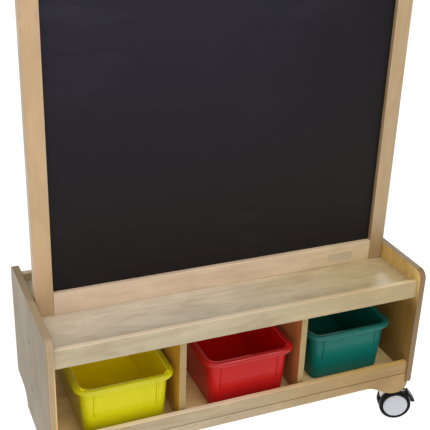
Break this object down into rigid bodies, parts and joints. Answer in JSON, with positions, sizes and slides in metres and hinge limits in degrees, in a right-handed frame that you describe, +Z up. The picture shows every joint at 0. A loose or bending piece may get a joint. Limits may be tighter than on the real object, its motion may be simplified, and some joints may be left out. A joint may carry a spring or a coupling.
{
  "type": "mobile chalkboard easel",
  "caption": "Mobile two-sided chalkboard easel: framed board on a plywood storage base with trays, open bays, lift-out bins and locking casters.",
  "frame": {"origin": "on the floor under the middle of the base", "axes": "+Z up, +X to the right as seen from the front, -Y towards the front, where the bins are"},
  "size_m": [0.922, 0.336, 1.2],
  "materials": {
    "birch_plywood": "clear satin lacquer over birch plywood, with bare rounded edges",
    "maple_frame": "clear satin lacquer over solid light hardwood",
    "hardwood": "plain sanded hardwood",
    "slate_paint": "matte black chalkboard paint on hardboard",
    "badge": "satin",
    "zinc_steel": "zinc plated",
    "yellow_plastic": "gloss",
    "red_plastic": "gloss",
    "green_plastic": "gloss",
    "caster_grey": "satin",
    "hub_plastic": "satin",
    "tyre_rubber": "matte",
    "lever_plastic": "satin"
  },
  "bodies": {
    "base": {"end_panel_left": "birch_plywood", "end_panel_right": "birch_plywood", "tray_shelf": "birch_plywood", "tray_lip_front": "birch_plywood", "tray_lip_rear": "birch_plywood", "base_shelf": "birch_plywood", "stop_rail_front": "birch_plywood", "stop_rail_rear": "birch_plywood", "apron_front": "birch_plywood", "apron_rear": "birch_plywood", "divider_left": "birch_plywood", "divider_right": "birch_plywood", "stile_left": "maple_frame", "stile_right": "maple_frame", "rail_bottom": "maple_frame", "rail_top": "maple_frame", "chalkboard": "slate_paint", "badge_plate": "badge", "panel_bolts": "zinc_steel", "caster_blocks": "hardwood", "caster_screws": "zinc_steel", "caster_front_right_plate": "zinc_steel", "caster_front_right_kingpin": "zinc_steel", "caster_front_left_plate": "zinc_steel", "caster_front_left_kingpin": "zinc_steel", "caster_rear_right_plate": "zinc_steel", "caster_rear_right_kingpin": "zinc_steel", "caster_rear_left_plate": "zinc_steel", "caster_rear_left_kingpin": "zinc_steel"},
    "yellow_bin": {"bin_yellow": "yellow_plastic"},
    "red_bin": {"bin_red": "red_plastic"},
    "green_bin": {"bin_green": "green_plastic"},
    "front_right_swivel": {"caster_front_right_housing": "caster_grey"},
    "front_right_wheels": {"caster_front_right_axle": "zinc_steel", "caster_front_right_tyres": "tyre_rubber", "caster_front_right_hubs": "hub_plastic"},
    "front_right_lever": {"caster_front_right_brake_lever": "lever_plastic"},
    "front_left_swivel": {"caster_front_left_housing": "caster_grey"},
    "front_left_wheels": {"caster_front_left_axle": "zinc_steel", "caster_front_left_tyres": "tyre_rubber", "caster_front_left_hubs": "hub_plastic"},
    "front_left_lever": {"caster_front_left_brake_lever": "lever_plastic"},
    "rear_right_swivel": {"caster_rear_right_housing": "caster_grey"},
    "rear_right_wheels": {"caster_rear_right_axle": "zinc_steel", "caster_rear_right_tyres": "tyre_rubber", "caster_rear_right_hubs": "hub_plastic"},
    "rear_right_lever": {"caster_rear_right_brake_lever": "lever_plastic"},
    "rear_left_swivel": {"caster_rear_left_housing": "caster_grey"},
    "rear_left_wheels": {"caster_rear_left_axle": "zinc_steel", "caster_rear_left_tyres": "tyre_rubber", "caster_rear_left_hubs": "hub_plastic"},
    "rear_left_lever": {"caster_rear_left_brake_lever": "lever_plastic"}
  },
  "joints": [
    {"name": "front_right_swivel_turn", "type": "hinge", "parent": "base", "child": "front_right_swivel", "pos_m": [0.389, -0.123, 0.08], "axis": [0, 0, 1], "continuous": true},
    {"name": "front_right_wheel_roll", "type": "hinge", "parent": "front_right_swivel", "child": "front_right_wheels", "pos_m": [0.41234, -0.13196, 0.0375], "axis": [0.3584, 0.9336, 0], "continuous": true},
    {"name": "front_right_brake_press", "type": "hinge", "parent": "front_right_swivel", "child": "front_right_lever", "pos_m": [0.43195, -0.13948, 0.0575], "axis": [-0.3584, -0.9336, 0], "range_deg": [0, 22]},
    {"name": "front_left_swivel_turn", "type": "hinge", "parent": "base", "child": "front_left_swivel", "pos_m": [-0.389, -0.123, 0.08], "axis": [0, 0, 1], "continuous": true},
    {"name": "front_left_wheel_roll", "type": "hinge", "parent": "front_left_swivel", "child": "front_left_wheels", "pos_m": [-0.41234, -0.13196, 0.0375], "axis": [0.3584, -0.9336, 0], "continuous": true},
    {"name": "front_left_brake_press", "type": "hinge", "parent": "front_left_swivel", "child": "front_left_lever", "pos_m": [-0.43195, -0.13948, 0.0575], "axis": [-0.3584, 0.9336, 0], "range_deg": [0, 22]},
    {"name": "rear_right_swivel_turn", "type": "hinge", "parent": "base", "child": "rear_right_swivel", "pos_m": [0.389, 0.123, 0.08], "axis": [0, 0, 1], "continuous": true},
    {"name": "rear_right_wheel_roll", "type": "hinge", "parent": "rear_right_swivel", "child": "rear_right_wheels", "pos_m": [0.36566, 0.11404, 0.0375], "axis": [0.3584, -0.9336, 0], "continuous": true},
    {"name": "rear_right_brake_press", "type": "hinge", "parent": "rear_right_swivel", "child": "rear_right_lever", "pos_m": [0.34606, 0.10651, 0.0575], "axis": [-0.3584, 0.9336, 0], "range_deg": [0, 22]},
    {"name": "rear_left_swivel_turn", "type": "hinge", "parent": "base", "child": "rear_left_swivel", "pos_m": [-0.389, 0.123, 0.08], "axis": [0, 0, 1], "continuous": true},
    {"name": "rear_left_wheel_roll", "type": "hinge", "parent": "rear_left_swivel", "child": "rear_left_wheels", "pos_m": [-0.36566, 0.11404, 0.0375], "axis": [0.3584, 0.9336, 0], "continuous": true},
    {"name": "rear_left_brake_press", "type": "hinge", "parent": "rear_left_swivel", "child": "rear_left_lever", "pos_m": [-0.34606, 0.10651, 0.0575], "axis": [-0.3584, -0.9336, 0], "range_deg": [0, 22]},
    {"name": "yellow_bin_lift_out", "type": "slide", "parent": "base", "child": "yellow_bin", "axis": [0, -0.5, 0.866], "range_m": [0, 0.08]},
    {"name": "red_bin_lift_out", "type": "slide", "parent": "base", "child": "red_bin", "axis": [0, -0.5, 0.866], "range_m": [0, 0.08]},
    {"name": "green_bin_lift_out", "type": "slide", "parent": "base", "child": "green_bin", "axis": [0, -0.5, 0.866], "range_m": [0, 0.08]}
  ]
}
